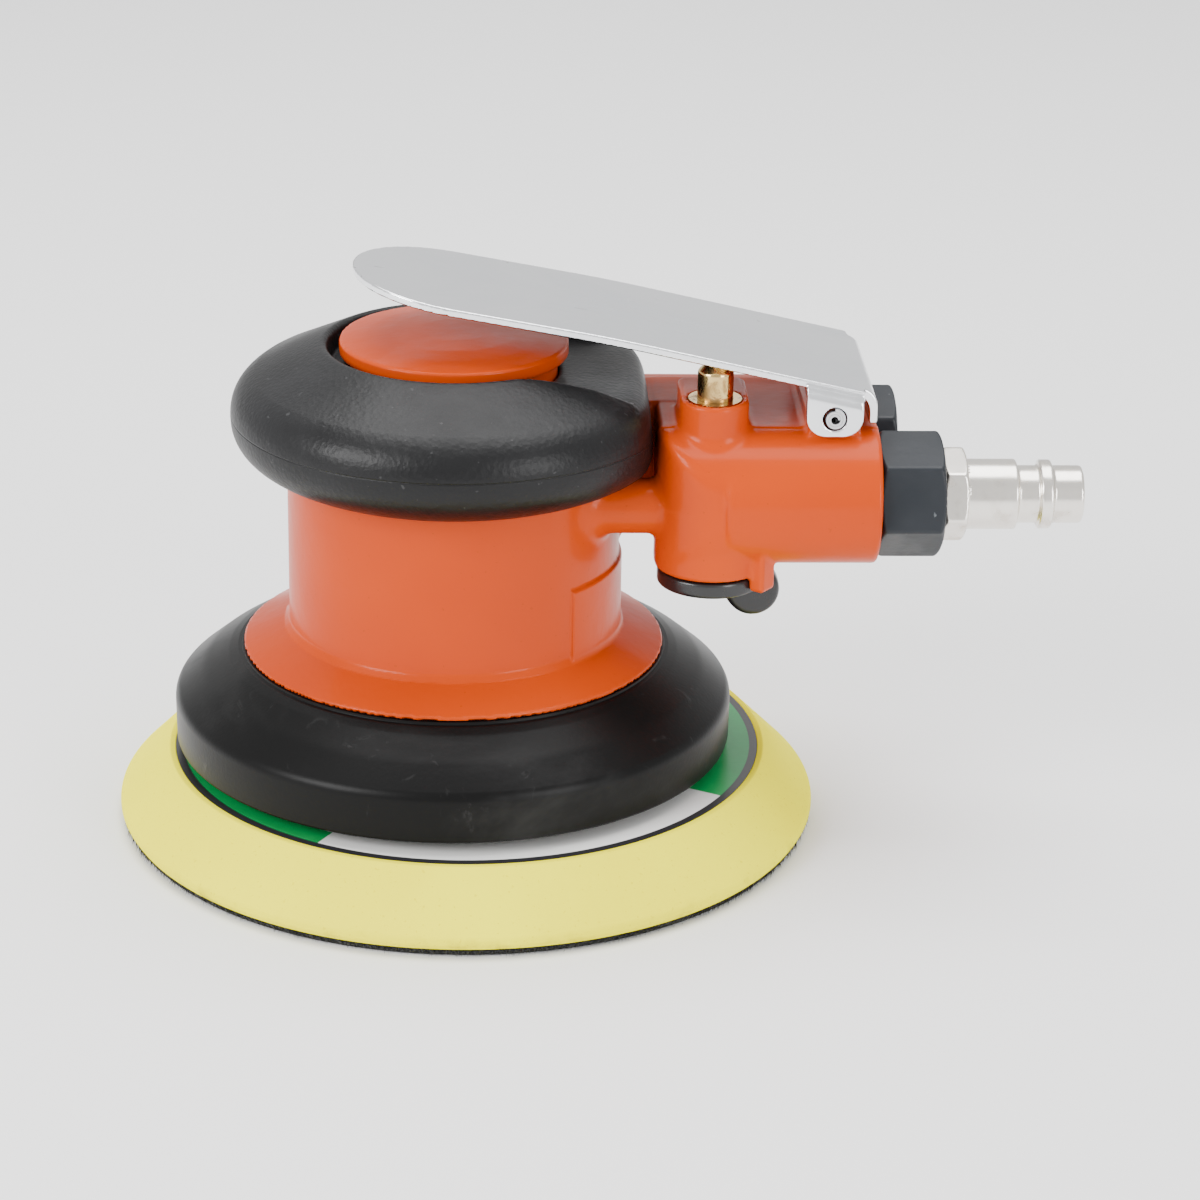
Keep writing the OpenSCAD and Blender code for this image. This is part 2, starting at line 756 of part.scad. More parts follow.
motor_housing();
grip();
shroud();
lock_ring();
lower_endplate();
endplate_oring();
cylinder_liner();
cylinder_pin();
upper_endplate();
wave_washer();
upper_bearing_outer_ring();
lower_bearing_outer_ring();
inlet_bushing();
inlet_oring();
inlet_screen();
quick_plug();
exhaust_muffler();
muffler_insert();
lever_pin();
valve_guide();
stem_oring();
valve_seat();
rotor();
rotor_vanes();
rotor_key();
shaft_balancer();
upper_bearing_inner_ring();
lower_bearing_inner_ring();
spindle_bearing_outer_rings();
bearing_snap_ring();
spindle();
spindle_bearing_inner_rings();
spindle_circlip();
pad_spacer();
pad_stud();
backing_plate();
pad_foam();
pad_label();
hook_layer();
upper_ball_set();
lower_ball_set();
spindle_ball_sets();
throttle_lever();
valve_stem();
valve_disc();
valve_spring();
regulator();
regulator_oring();
regulator_snap_ring();
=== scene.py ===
"""Palm-grip air sander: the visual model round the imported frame."""
import json
import math

import bmesh
import bpy
import numpy as np
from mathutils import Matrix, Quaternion, Vector


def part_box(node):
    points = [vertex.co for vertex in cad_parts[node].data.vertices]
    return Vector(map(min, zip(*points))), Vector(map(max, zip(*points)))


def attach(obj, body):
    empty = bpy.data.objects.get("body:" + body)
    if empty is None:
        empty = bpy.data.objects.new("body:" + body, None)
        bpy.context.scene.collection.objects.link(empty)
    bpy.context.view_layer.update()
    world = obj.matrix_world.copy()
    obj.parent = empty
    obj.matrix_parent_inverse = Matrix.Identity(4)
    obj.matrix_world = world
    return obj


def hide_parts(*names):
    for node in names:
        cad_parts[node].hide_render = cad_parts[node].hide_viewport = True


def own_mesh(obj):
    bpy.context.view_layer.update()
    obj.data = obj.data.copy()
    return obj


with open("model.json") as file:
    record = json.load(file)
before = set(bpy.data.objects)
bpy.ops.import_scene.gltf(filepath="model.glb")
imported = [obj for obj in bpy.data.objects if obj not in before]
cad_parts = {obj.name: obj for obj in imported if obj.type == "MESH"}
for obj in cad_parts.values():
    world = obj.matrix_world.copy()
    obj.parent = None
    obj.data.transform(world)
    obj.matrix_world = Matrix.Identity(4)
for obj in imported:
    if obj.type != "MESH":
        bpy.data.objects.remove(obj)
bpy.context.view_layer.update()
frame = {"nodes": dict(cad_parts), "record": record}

# ---- Measures, in millimetres, taken from the frame where a node shows them ----

MM = 0.001


def span(node):
    """Lowest and highest corner of a CAD node, in millimetres."""
    low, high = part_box(node)
    return np.array(low) / MM, np.array(high) / MM


def middle(node):
    low, high = span(node)
    return (low + high) / 2


pad_x = middle("pad_foam")[0]
pad_r = span("pad_foam")[1][0] - pad_x
pad_top = span("pad_foam")[1][2]
hook_top = span("hook_layer")[1][2]
label_r = span("pad_label")[1][0] - pad_x
shroud_r = span("shroud")[1][0]
shroud_low, shroud_high = span("shroud")[0][2], span("shroud")[1][2]
grip_r = -span("grip")[0][0]
grip_top = span("grip")[1][2]
grip_flat = span("grip")[1][0]
cap_top = span("motor_housing")[1][2]
housing_low = span("motor_housing")[0][2]
block_end = span("motor_housing")[1][0]
block_y, block_z = middle("muffler_insert")[1:]
valve_x, valve_y = middle("valve_stem")[:2]
pin_x, _, pin_z = middle("lever_pin")
pin_len = span("lever_pin")[1][1] * 2
lever_low, lever_high = span("throttle_lever")
hex_end = span("inlet_bushing")[1][0]
muffler_end = span("exhaust_muffler")[1][0]
plug_end = span("quick_plug")[1][0]
screen_face = span("inlet_screen")[1][0]
boss_top = span("valve_guide")[1][2]

barrel_r = 29.2
bore_r = span("cylinder_liner")[1][0]
motor_low = span("lower_endplate")[0][2]
roof = span("wave_washer")[1][2]
shoulder = 81.5
cap_r = 19.9
cap_rise = 1.6                      # from the cap's rim to the top of its dome
flange_r, flange_low = 37.3, 32.2
hole_r, hole_floor = 21.4, 84       # the grip's hole above the cap
seam_z = 75.5                       # moulding seam round the grip
block_r = 12.0
neck_z = 62.5
FINE = 1  # coarser surfaces while other pieces are worked on


# ---- Outlines and turned shapes ----

def outline(corners, steps=6):
    """A closed outline. A corner (x, y, radius) becomes an arc, (x, y) stays sharp."""
    points = []
    for i, corner in enumerate(corners):
        c = np.array(corner[:2], float)
        radius = corner[2] if len(corner) > 2 else 0
        if not radius:
            points.append(tuple(c))
            continue
        u = np.array(corners[i - 1][:2], float) - c
        v = np.array(corners[(i + 1) % len(corners)][:2], float) - c
        u, v = u / np.linalg.norm(u), v / np.linalg.norm(v)
        half = math.acos(np.clip(u @ v, -1, 1)) / 2
        centre = c + (u + v) / np.linalg.norm(u + v) * radius / math.sin(half)
        first = c + u * radius / math.tan(half) - centre
        last = c + v * radius / math.tan(half) - centre
        a = math.atan2(first[1], first[0])
        turn = (math.atan2(last[1], last[0]) - a + math.pi) % (2 * math.pi) - math.pi
        for k in range(steps + 1):
            b = a + turn * k / steps
            points.append((centre[0] + radius * math.cos(b), centre[1] + radius * math.sin(b)))
    return points


def mesh_object(name, vertices, faces, normals=None):
    mesh = bpy.data.meshes.new(name)
    mesh.from_pydata((np.asarray(vertices) * MM).tolist(), [], [tuple(f) for f in faces])
    mesh.shade_smooth()
    if normals is not None:
        mesh.normals_split_custom_set_from_vertices(normals.tolist())
    obj = bpy.data.objects.new(name, mesh)
    bpy.context.scene.collection.objects.link(obj)
    return obj


def sharpen(obj, angle=38):
    """Welds doubled points and marks edges that turn more than the angle as sharp."""
    bm = bmesh.new()
    bm.from_mesh(obj.data)
    bmesh.ops.remove_doubles(bm, verts=bm.verts, dist=1e-7)
    bmesh.ops.recalc_face_normals(bm, faces=bm.faces)
    for edge in bm.edges:
        edge.smooth = len(edge.link_faces) == 2 and edge.calc_face_angle() < math.radians(angle)
    bm.to_mesh(obj.data)
    bm.free()
    return obj


def lathe(name, points, centre=(0, 0, 0), segments=180):
    """Turns a closed outline of (radius, height) about Z."""
    segments //= FINE
    ring = np.arange(segments)
    angle = ring * 2 * math.pi / segments
    rows = []
    for radius, height in points:
        flat = np.full(segments, height)
        rows.append(np.stack((radius * np.cos(angle), radius * np.sin(angle), flat), 1))
    vertices = np.concatenate(rows) + np.array(centre)
    faces = []
    for i in range(len(points)):
        j = (i + 1) % len(points)
        if points[i][0] <= 0 and points[j][0] <= 0:
            continue
        a, b = i * segments + ring, i * segments + np.roll(ring, -1)
        c, d = j * segments + np.roll(ring, -1), j * segments + ring
        faces.append(np.stack((a, b, c, d), 1))
    return sharpen(mesh_object(name, vertices, np.concatenate(faces)))


# ---- Rounded solids from distance fields ----
# A field takes an (n, 3) array of points in millimetres and gives each point's signed
# distance to the surface, negative inside.

def smin(a, b, k):
    """Union with a fillet of about k."""
    h = np.maximum(k - np.abs(a - b), 0) / k
    return np.minimum(a, b) - h * h * k / 4


def smax(a, b, k):
    """Intersection with a rounded edge of about k."""
    return -smin(-a, -b, k)


def polygon_field(x, y, points):
    best = np.full(x.shape, 1e9)
    inside = np.zeros(x.shape, bool)
    for (ax, ay), (bx, by) in zip(points, points[1:] + points[:1]):
        ex, ey = bx - ax, by - ay
        wx, wy = x - ax, y - ay
        t = np.clip((wx * ex + wy * ey) / (ex * ex + ey * ey + 1e-12), 0, 1)
        best = np.minimum(best, (wx - ex * t) ** 2 + (wy - ey * t) ** 2)
        if ey:
            inside ^= ((ay <= y) != (by <= y)) & (x < ax + wy * ex / ey)
    return np.where(inside, -1, 1) * np.sqrt(best)


def box_field(x, y, half_x, half_y, radius):
    """A rectangle with round corners, about the origin."""
    qx, qy = np.abs(x) - half_x + radius, np.abs(y) - half_y + radius
    return np.hypot(np.maximum(qx, 0), np.maximum(qy, 0)) + np.minimum(np.maximum(qx, qy), 0) - radius


def between(a, low, high):
    """A slab from low to high."""
    return np.maximum(low - a, a - high)


def hex_field(y, z, across_flats, turn):
    """A hexagon with its corners turned off the vertical."""
    best = np.full(y.shape, -1e9)
    for k in range(3):
        a = math.radians(turn + 60 * k)
        best = smax(best, np.abs(y * math.cos(a) + z * math.sin(a)) - across_flats / 2, 0.5)
    return best


def gradient(field, points, h=0.04):
    """Unit normals of a field, from the corners of a small tetrahedron."""
    corners = np.array([(1, -1, -1), (-1, -1, 1), (-1, 1, -1), (1, 1, 1)], float)
    g = sum(c * field(points + c * h)[:, None] for c in corners)
    return g / np.maximum(np.linalg.norm(g, axis=1, keepdims=True), 1e-9)


BLOCK = 8
CHUNK = 300_000


def evaluate(field, points):
    return np.concatenate([field(points[i:i + CHUNK]) for i in range(0, len(points), CHUNK)])


def sample(field, low, high, step):
    """The field on a grid, worked out only in blocks near the surface."""
    blocks = np.ceil((high - low) / step / BLOCK).astype(int)
    origin = (low + high) / 2 - blocks * BLOCK * step / 2
    index = np.stack(np.meshgrid(*[np.arange(n) for n in blocks], indexing="ij"), -1).reshape(-1, 3)
    centre = evaluate(field, origin + (index + 0.5) * BLOCK * step)
    grid = np.empty(blocks * BLOCK + 1, np.float32)
    coarse = np.sign(centre).reshape(blocks) * 1e3
    for axis in range(3):
        coarse = np.repeat(coarse, BLOCK, axis)
    grid[...] = np.pad(coarse, ((0, 1),) * 3, mode="edge")
    near = index[np.abs(centre) < BLOCK * step] * BLOCK
    local = np.stack(np.meshgrid(*[np.arange(BLOCK + 1)] * 3, indexing="ij"), -1).reshape(-1, 3)
    at = (near[:, None] + local).reshape(-1, 3)
    grid[tuple(at.T)] = evaluate(field, origin + at * step)
    return grid, origin


CORNERS = np.array([(i, j, k) for i in (0, 1) for j in (0, 1) for k in (0, 1)])


def surface(field, low, high, step):
    """Vertices, quads and normals of the field's surface, one vertex in each crossed cell."""
    step *= FINE
    low, high = np.array(low, float) - 2 * step, np.array(high, float) + 2 * step
    grid, origin = sample(field, low, high, step)
    inside = grid < 0
    cells = tuple(n - 1 for n in grid.shape)
    count = sum(inside[tuple(slice(c, c + n) for c, n in zip(corner, cells))].astype(np.int8)
                for corner in CORNERS)
    crossed = (count > 0) & (count < 8)
    cell = np.argwhere(crossed)
    number = np.full(cells, -1, np.int64)
    number[crossed] = np.arange(len(cell))
    value = np.stack([grid[tuple((cell + c).T)] for c in CORNERS], 1).astype(float)
    total, hits = np.zeros((len(cell), 3)), np.zeros((len(cell), 1))
    for i, a in enumerate(CORNERS):
        for j, b in enumerate(CORNERS):
            if i < j and np.abs(a - b).sum() == 1:
                va, vb = value[:, i:i + 1], value[:, j:j + 1]
                cut = (va < 0) != (vb < 0)
                t = np.where(cut, va / np.where(cut, va - vb, 1), 0)
                total += np.where(cut, a + t * (b - a), 0)
                hits += cut
    vertices = origin + (cell + total / hits) * step
    quads = []
    for axis in range(3):
        u, v = (axis + 1) % 3, (axis + 2) % 3
        first = inside[tuple(slice(0, -1) if k == axis else slice(1, -1) for k in range(3))]
        last = inside[tuple(slice(1, None) if k == axis else slice(1, -1) for k in range(3))]
        edge = np.argwhere(first != last)
        leaves = first[tuple(edge.T)]
        edge[:, u] += 1
        edge[:, v] += 1
        around = []
        for du, dv in ((0, 0), (-1, 0), (-1, -1), (0, -1)):
            at = edge.copy()
            at[:, u] += du
            at[:, v] += dv
            around.append(number[tuple(at.T)])
        quad = np.stack(around, 1)
        quads.append(np.where(leaves[:, None], quad, quad[:, ::-1]))
    quads = np.concatenate(quads)
    return polish(field, vertices, quads)


def polish(field, vertices, quads):
    """Spreads the vertices evenly and puts them on the surface."""
    ends = np.concatenate([quads[:, [k, (k + 1) % 4]] for k in range(4)])
    ends = np.concatenate([ends, ends[:, ::-1]])
    share = np.bincount(ends[:, 0], minlength=len(vertices))[:, None]
    for relax in (True, True, False):
        if relax:
            mean = np.stack([np.bincount(ends[:, 0], vertices[ends[:, 1], k], len(vertices))
                             for k in range(3)], 1) / share
            vertices = 0.5 * (vertices + mean)
        for _ in range(2):
            vertices = vertices - gradient(field, vertices) * field(vertices)[:, None]
    return vertices, quads, gradient(field, vertices)


def solid(name, field, low, high, step):
    return mesh_object(name, *surface(field, low, high, step))


# ---- Materials ----

class Paint:
    """A Principled material with helpers for its texture nodes."""

    def __init__(self, name, color=(0.5, 0.5, 0.5), rough=0.5, metal=0.0, **sockets):
        self.mat = bpy.data.materials.new(name)
        self.mat.use_nodes = True
        self.tree = self.mat.node_tree
        self.bsdf = self.tree.nodes["Principled BSDF"]
        self.set(self.bsdf, "Base Color", (*color, 1))
        self.set(self.bsdf, "Roughness", rough)
        self.set(self.bsdf, "Metallic", metal)
        for key, value in sockets.items():
            self.set(self.bsdf, key.replace("_", " "), value)
        self.place = self.node("ShaderNodeTexCoord").outputs["Object"]

    def set(self, node, socket, value):
        """Links an output to a socket, or sets its number."""
        if isinstance(value, bpy.types.NodeSocket):
            self.tree.links.new(value, node.inputs[socket])
        else:
            node.inputs[socket].default_value = value

    def node(self, kind, **props):
        made = self.tree.nodes.new(kind)
        for key, value in props.items():
            setattr(made, key, value)
        return made

    def math(self, how, a, b=0.0):
        made = self.node("ShaderNodeMath", operation=how)
        self.set(made, 0, a)
        self.set(made, 1, b)
        return made.outputs[0]

    def noise(self, scale, detail=3.0, rough=0.5, stretch=(1, 1, 1), warp=0.0):
        where = self.place
        if stretch != (1, 1, 1):
            mapping = self.node("ShaderNodeMapping")
            self.set(mapping, "Vector", where)
            self.set(mapping, "Scale", stretch)
            where = mapping.outputs[0]
        made = self.node("ShaderNodeTexNoise")
        self.set(made, "Vector", where)
        self.set(made, "Scale", scale)
        self.set(made, "Detail", detail)
        self.set(made, "Roughness", rough)
        self.set(made, "Distortion", warp)
        return made.outputs["Fac"]

    def cells(self, scale):
        made = self.node("ShaderNodeTexVoronoi")
        self.set(made, "Vector", self.place)
        self.set(made, "Scale", scale)
        return made.outputs["Distance"]

    def ramp(self, value, low, high, out_low=0.0, out_high=1.0):
        made = self.node("ShaderNodeMapRange", interpolation_type="SMOOTHSTEP")
        for socket, number in (("Value", value), ("From Min", low), ("From Max", high),
                               ("To Min", out_low), ("To Max", out_high)):
            self.set(made, socket, number)
        return made.outputs[0]

    def mix(self, factor, a, b):
        made = self.node("ShaderNodeMix", data_type="RGBA")
        made.inputs[0].default_value = 0.5
        self.set(made, 0, factor)
        for index, value in ((6, a), (7, b)):
            self.set(made, index, value if isinstance(value, bpy.types.NodeSocket) else (*value, 1))
        return made.outputs[2]

    def axes(self):
        made = self.node("ShaderNodeSeparateXYZ")
        self.set(made, 0, self.place)
        return made.outputs

    def line(self, value, at, width):
        """1 on a thin line where the value is at, 0 away from it."""
        off = self.math("ABSOLUTE", self.math("SUBTRACT", value, at))
        return self.ramp(off, 0.0, width, 1.0, 0.0)

    def color(self, value):
        self.set(self.bsdf, "Base Color", value)
        return self

    def rough(self, value):
        self.set(self.bsdf, "Roughness", value)
        return self

    def bump(self, *layers):
        """Each layer is (height 0 to 1, depth in millimetres)."""
        normal = None
        for height, depth in layers:
            made = self.node("ShaderNodeBump")
            self.set(made, "Height", height)
            self.set(made, "Distance", depth * MM)
            self.set(made, "Strength", 1.0)
            if normal is not None:
                self.set(made, "Normal", normal)
            normal = made.outputs[0]
        self.set(self.bsdf, "Normal", normal)
        return self


def orange_paint():
    p = Paint("orange_paint", rough=0.34, Coat_Weight=0.14, Coat_Roughness=0.10, Specular_IOR_Level=0.08)
    specks = p.ramp(p.noise(1400, 1), 0.75, 0.78)
    body = p.mix(p.ramp(p.noise(18, 3), 0.3, 0.7), (0.45, 0.042, 0.0), (0.52, 0.054, 0.0))
    p.color(p.mix(p.math("MULTIPLY", specks, 0.5), body, (0.30, 0.04, 0.0)))
    p.rough(p.ramp(p.noise(60, 4), 0.3, 0.7, 0.28, 0.38))
    return p.bump((p.noise(420, 2), 0.05), (p.noise(90, 2), 0.12)).mat


def grip_rubber():
    p = Paint("grip_rubber", rough=0.42, Specular_IOR_Level=0.24)
    worn = p.ramp(p.noise(35, 5, 0.6), 0.45, 0.75)
    dust = p.ramp(p.noise(900, 2), 0.70, 0.76)
    base = p.mix(worn, (0.004, 0.004, 0.0045), (0.010, 0.010, 0.011))
    p.color(p.mix(p.math("MULTIPLY", dust, 0.5), base, (0.05, 0.05, 0.052)))
    p.rough(p.ramp(p.noise(50, 4), 0.3, 0.7, 0.36, 0.48))
    seam = p.line(p.axes()[2], seam_z * MM, 0.00022)
    return p.bump((p.cells(1100), 0.045), (p.noise(2600, 2), 0.03),
                  (p.math("SUBTRACT", 1.0, seam), 0.12)).mat


def shroud_rubber():
    p = Paint("shroud_rubber", rough=0.42, Specular_IOR_Level=0.12)
    smudge = p.ramp(p.noise(26, 5, 0.6, (1, 1, 2.0), 0.5), 0.50, 0.78)
    scuff = p.ramp(p.noise(190, 4, 0.6, (1, 1, 0.5), 0.8), 0.62, 0.80)
    base = p.mix(smudge, (0.003, 0.003, 0.003), (0.018, 0.018, 0.018))
    p.color(p.mix(p.math("MULTIPLY", scuff, 0.4), base, (0.06, 0.06, 0.06)))
    p.rough(p.ramp(smudge, 0.0, 1.0, 0.36, 0.52))
    return p.bump((p.noise(1500, 3), 0.02), (scuff, 0.02)).mat


def yellow_foam():
    p = Paint("yellow_foam", rough=0.62, Specular_IOR_Level=0.02)
    height = p.axes()[2]
    tone = p.ramp(p.noise(30, 4), 0.35, 0.7)
    pores = p.ramp(p.noise(1500, 2), 0.66, 0.72)
    # patches of darker yellow towards the bottom of the foam, fading out higher up
    near_floor = p.ramp(height, 0.0016, 0.0052, 1.0, 0.0)
    low_darkening = p.math("MULTIPLY", near_floor, p.ramp(p.noise(240, 4), 0.5, 0.75))
    base = p.mix(tone, (0.88, 0.80, 0.0), (0.94, 0.87, 0.0))
    base = p.mix(p.math("MULTIPLY", pores, 0.35), base, (0.62, 0.50, 0.0))
    p.color(p.mix(p.math("MULTIPLY", low_darkening, 0.5), base, (0.40, 0.33, 0.02)))
    p.rough(p.ramp(p.noise(90, 3), 0.3, 0.7, 0.54, 0.68))
    return p.bump((p.noise(1700, 3), 0.05), (p.noise(150, 3), 0.2)).mat


def label_print():
    """Green and white quarters about the pad's axis, inside a dark rim."""
    p = Paint("label_print", rough=0.36, Coat_Weight=0.2, Coat_Roughness=0.2)
    x, y, _ = p.axes()
    east = p.math("SUBTRACT", x, float(pad_x * MM))
    angle = p.math("ARCTAN2", y, east)
    turned = p.math("SUBTRACT", p.math("MULTIPLY", angle, 2.0), math.radians(2 * -75))
    white = p.ramp(p.math("COSINE", turned), -0.004, 0.004)
    radius = p.math("SQRT", p.math("ADD", p.math("MULTIPLY", east, east), p.math("MULTIPLY", y, y)))
    rim = p.ramp(radius, (label_r - 1.5) * MM, (label_r - 1.35) * MM)
    print_wear = p.noise(500, 4)
    quarter = p.mix(white, p.mix(print_wear, (0.0, 0.27, 0.055), (0.0, 0.34, 0.08)), (0.80, 0.80, 0.78))
    p.color(p.mix(rim, quarter, (0.018, 0.018, 0.020)))
    return p.bump((p.noise(700, 2), 0.02)).mat


def hook_fleece():
    p = Paint("hook_fleece", rough=0.9, Specular_IOR_Level=0.15, Sheen_Weight=0.15, Sheen_Roughness=0.5)
    p.color(p.mix(p.noise(2500, 3), (0.003, 0.003, 0.003), (0.018, 0.018, 0.017)))
    return p.bump((p.cells(1500), 0.4)).mat


def bright_steel():
    p = Paint("bright_steel", (0.86, 0.87, 0.89), 0.2, 1.0)
    grain = p.noise(900, 4, 0.6, (0.04, 1, 0.3))
    smear = p.ramp(p.noise(28, 5, 0.6, warp=0.8), 0.42, 0.72)
    nick = p.ramp(p.noise(330, 3, 0.6, (0.3, 1, 1), 1.0), 0.70, 0.74)
    base = p.mix(smear, (0.86, 0.87, 0.89), (0.76, 0.78, 0.81))
    p.color(p.mix(nick, base, (0.5, 0.5, 0.5)))
    p.rough(p.math("ADD", p.ramp(smear, 0, 1, 0.13, 0.24), p.math("MULTIPLY", grain, 0.08)))
    return p.bump((grain, 0.008), (p.noise(40, 3), 0.10), (nick, 0.02)).mat


def machined_steel(name="machined_steel", tint=(0.62, 0.63, 0.65)):
    p = Paint(name, tint, 0.3, 1.0)
    rings = p.noise(700, 3, 0.5, (1, 1, 0.2))
    p.color(p.mix(p.noise(120, 4), tint, tuple(0.82 * c for c in tint)))
    p.rough(p.ramp(rings, 0.3, 0.7, 0.24, 0.4))
    return p.bump((rings, 0.01)).mat


def nickel_plate():
    p = Paint("nickel_plate", (0.80, 0.76, 0.70), 0.26, 1.0)
    cut = p.noise(1500, 3, 0.5, (1, 0.08, 0.08))
    stain = p.ramp(p.noise(180, 4), 0.5, 0.75)
    p.color(p.mix(stain, (0.82, 0.78, 0.72), (0.62, 0.56, 0.49)))
    p.rough(p.math("ADD", p.ramp(stain, 0, 1, 0.18, 0.32), p.math("MULTIPLY", cut, 0.08)))
    return p.bump((cut, 0.012), (p.noise(260, 2), 0.02)).mat


def brass():
    p = Paint("brass", (0.62, 0.42, 0.17), 0.26, 1.0)
    tarnish = p.ramp(p.noise(260, 5, 0.6, warp=0.6), 0.48, 0.66)
    dent = p.ramp(p.noise(420, 2, warp=0.8), 0.6, 0.7)
    base = p.mix(tarnish, (0.66, 0.46, 0.19), (0.34, 0.21, 0.08))
    p.color(p.mix(p.ramp(p.noise(700, 3), 0.66, 0.7), base, (0.05, 0.03, 0.02)))
    p.rough(p.ramp(tarnish, 0, 1, 0.16, 0.42))
    return p.bump((dent, 0.12), (p.noise(900, 3), 0.02)).mat


def black_oxide():
    p = Paint("black_oxide", rough=0.42, Specular_IOR_Level=0.25)
    bare = p.ramp(p.noise(420, 5, 0.65), 0.66, 0.72)
    base = p.mix(p.noise(60, 4), (0.007, 0.009, 0.012), (0.020, 0.023, 0.028))
    p.color(p.mix(bare, base, (0.10, 0.11, 0.12)))
    p.rough(p.ramp(p.noise(140, 4), 0.3, 0.7, 0.32, 0.5))
    return p.bump((p.noise(800, 3), 0.03)).mat


def black_plastic():
    p = Paint("black_plastic", rough=0.32, Specular_IOR_Level=0.5)
    p.color(p.mix(p.noise(90, 4), (0.004, 0.004, 0.0045), (0.010, 0.010, 0.011)))
    p.rough(p.ramp(p.noise(120, 4), 0.3, 0.7, 0.26, 0.42))
    return p.bump((p.noise(900, 3), 0.02)).mat


def seal_rubber():
    p = Paint("seal_rubber", rough=0.6)
    p.color(p.mix(p.noise(300, 3), (0.006, 0.006, 0.006), (0.015, 0.015, 0.015)))
    return p.bump((p.noise(1200, 2), 0.02)).mat


def porous_bronze():
    p = Paint("sintered_bronze", rough=0.6, metal=0.8)
    grains = p.cells(1700)
    p.color(p.mix(p.ramp(grains, 0.1, 0.6), (0.36, 0.24, 0.12), (0.12, 0.08, 0.04)))
    return p.bump((grains, 0.3)).mat


def vane_composite():
    p = Paint("vane_composite", rough=0.55)
    layers = p.noise(900, 3, 0.5, (0.1, 0.1, 1))
    p.color(p.mix(layers, (0.20, 0.12, 0.06), (0.34, 0.23, 0.13)))
    return p.bump((layers, 0.03)).mat


def pad_plate():
    p = Paint("pad_plate", rough=0.5)
    p.color(p.mix(p.noise(400, 5), (0.03, 0.03, 0.032), (0.07, 0.07, 0.072)))
    return p.bump((p.cells(600), 0.05)).mat


MATERIALS = {
    "orange_paint": orange_paint(), "grip_rubber": grip_rubber(), "shroud_rubber": shroud_rubber(),
    "machined_steel": machined_steel(),
    "bearing_steel": machined_steel("bearing_steel", (0.75, 0.76, 0.78)),
    "bright_steel": bright_steel(), "black_oxide": black_oxide(), "nickel_plate": nickel_plate(),
    "brass": brass(), "sintered_bronze": porous_bronze(), "seal_rubber": seal_rubber(),
    "vane_composite": vane_composite(), "pad_plate": pad_plate(), "yellow_foam": yellow_foam(),
    "label_print": label_print(), "hook_fleece": hook_fleece(), "black_plastic": black_plastic(),
}
SLOT_OF = {part["node"]: part["material_slot"] for part in frame["record"]["subparts"]}
BODY_OF = {node: body for body, nodes in frame["record"]["behaviour"]["bodies"].items() for node in nodes}


def finish_piece(obj, node):
    """Gives a new piece the material, slot and body of the CAD node that it stands for."""
    obj.data.materials.append(MATERIALS[SLOT_OF[node]])
    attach(obj, BODY_OF[node])
    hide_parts(node)
    return obj


for node, obj in frame["nodes"].items():
    obj.data.materials.clear()
    obj.data.materials.append(MATERIALS[SLOT_OF[node]])


# ---- Pad ----

def make_pad():
    top_r = label_r + 0.6
    plate_low = span("backing_plate")[0][2]
    foam = lathe("pad_foam_skin", outline([
        (0, hook_top), (pad_r - 0.6, hook_top), (pad_r, hook_top + 1.0, 0.5),
        (pad_r, hook_top + 2.2, 1.6), (top_r + 0.5, pad_top, 0.5), (label_r + 0.02, pad_top, 0.15),
        (label_r + 0.02, plate_low), (14.1, plate_low), (14.1, plate_low - 1.2), (0, plate_low - 1.2)]),
        (pad_x, 0, 0), segments=240)
    finish_piece(foam, "pad_foam")
    label = lathe("pad_label_disc", outline([
        (14, pad_top - 0.2), (label_r, pad_top - 0.2), (label_r, pad_top), (14, pad_top)]),
        (pad_x, 0, 0), segments=240)
    finish_piece(label, "pad_label")
    hooks = lathe("hook_disc", outline([
        (0, 0.3), (pad_r - 1.3, 0.3), (pad_r - 1.0, hook_top), (0, hook_top)]),
        (pad_x, 0, 0), segments=240)
    finish_piece(hooks, "hook_layer")


def make_hook_pile():
    """Short leaning bristles round the rim of the hook layer."""
    rng = np.random.default_rng(7)
    count = 5200 // FINE
    angle = rng.uniform(0, 2 * math.pi, count)
    radius = pad_r - rng.uniform(0.5, 2.2, count)
    root = np.stack((pad_x + radius * np.cos(angle), radius * np.sin(angle), np.full(count, hook_top)), 1)
    lean = rng.normal(0, 0.28, (count, 2))
    tip = root + np.stack((lean[:, 0], lean[:, 1], -rng.uniform(1.0, hook_top - 0.05, count)), 1)
    reach = np.hypot(tip[:, 0] - pad_x, tip[:, 1])
    scale = np.minimum(1, (pad_r - 0.1) / reach)
    tip[:, 0] = pad_x + (tip[:, 0] - pad_x) * scale
    tip[:, 1] *= scale
    vertices, faces = [], []
    for k in range(3):
        turn = angle + k * 2 * math.pi / 3
        vertices.append(root + 0.09 * np.stack((np.cos(turn), np.sin(turn), np.zeros(count)), 1))
    vertices.append(tip)
    base = np.arange(count)
    for k in range(3):
        faces.append(np.stack((base + k * count, base + 3 * count, base + (k + 1) % 3 * count), 1))
    faces.append(np.stack((base, base + count, base + 2 * count), 1))
    pile = mesh_object("hook_pile", np.concatenate(vertices), np.concatenate(faces))
    pile.data.materials.append(MATERIALS["hook_fleece"])
    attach(pile, BODY_OF["hook_layer"])


# ---- Shroud ----

